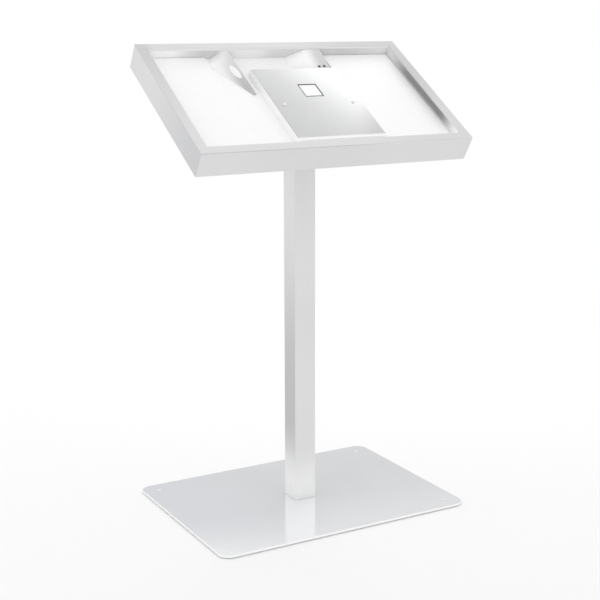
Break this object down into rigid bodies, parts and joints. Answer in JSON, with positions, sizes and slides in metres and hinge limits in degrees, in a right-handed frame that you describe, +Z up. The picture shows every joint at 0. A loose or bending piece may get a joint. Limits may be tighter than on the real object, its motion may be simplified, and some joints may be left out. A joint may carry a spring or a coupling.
{
  "type": "information lectern",
  "caption": "Floor-standing lectern: flat foot plate, square post and a tilted shallow tray with a raised middle plate, square covered port and bent gussets inside.",
  "frame": {"origin": "on the floor under the axis of the post", "axes": "+X to the reader's right, +Y away from the reader, +Z up"},
  "size_m": [0.76, 0.528, 1.21],
  "materials": {
    "light_grey_steel": "semi-gloss light grey powder coat",
    "satin_steel": "satin, faint reflections",
    "zinc_screw": "plated, satin",
    "dark_screw": "black oxide",
    "dark_rubber": "matt",
    "white_board": "glossy white sheet"
  },
  "bodies": {
    "root": {"base_plate": "light_grey_steel", "base_screw_1": "zinc_screw", "base_screw_2": "zinc_screw", "base_screw_3": "zinc_screw", "base_screw_4": "zinc_screw", "foot_pad_1": "dark_rubber", "foot_pad_2": "dark_rubber", "foot_pad_3": "dark_rubber", "foot_pad_4": "dark_rubber", "post_tube": "light_grey_steel", "post_spigot": "light_grey_steel", "set_screw_lower": "zinc_screw", "set_screw_upper": "zinc_screw", "head_plate": "light_grey_steel", "head_bolt_1": "zinc_screw", "head_bolt_2": "zinc_screw", "head_bolt_3": "zinc_screw", "head_bolt_4": "zinc_screw", "head_nut_1": "zinc_screw", "head_nut_2": "zinc_screw", "head_nut_3": "zinc_screw", "head_nut_4": "zinc_screw", "tray_shell": "light_grey_steel", "rim_frame": "light_grey_steel", "tray_floor": "white_board", "inlay_board_left": "white_board", "inlay_board_right": "white_board", "floor_grommet": "dark_rubber", "mounting_plate": "satin_steel", "port_edging": "dark_rubber", "port_cover": "white_board", "plate_screw_left": "zinc_screw", "plate_screw_right": "zinc_screw", "plate_standoff_left": "zinc_screw", "plate_standoff_right": "zinc_screw", "gusset_left": "light_grey_steel", "gusset_right": "light_grey_steel", "gusset_screw_1": "dark_screw", "gusset_screw_2": "dark_screw"}
  },
  "joints": []
}
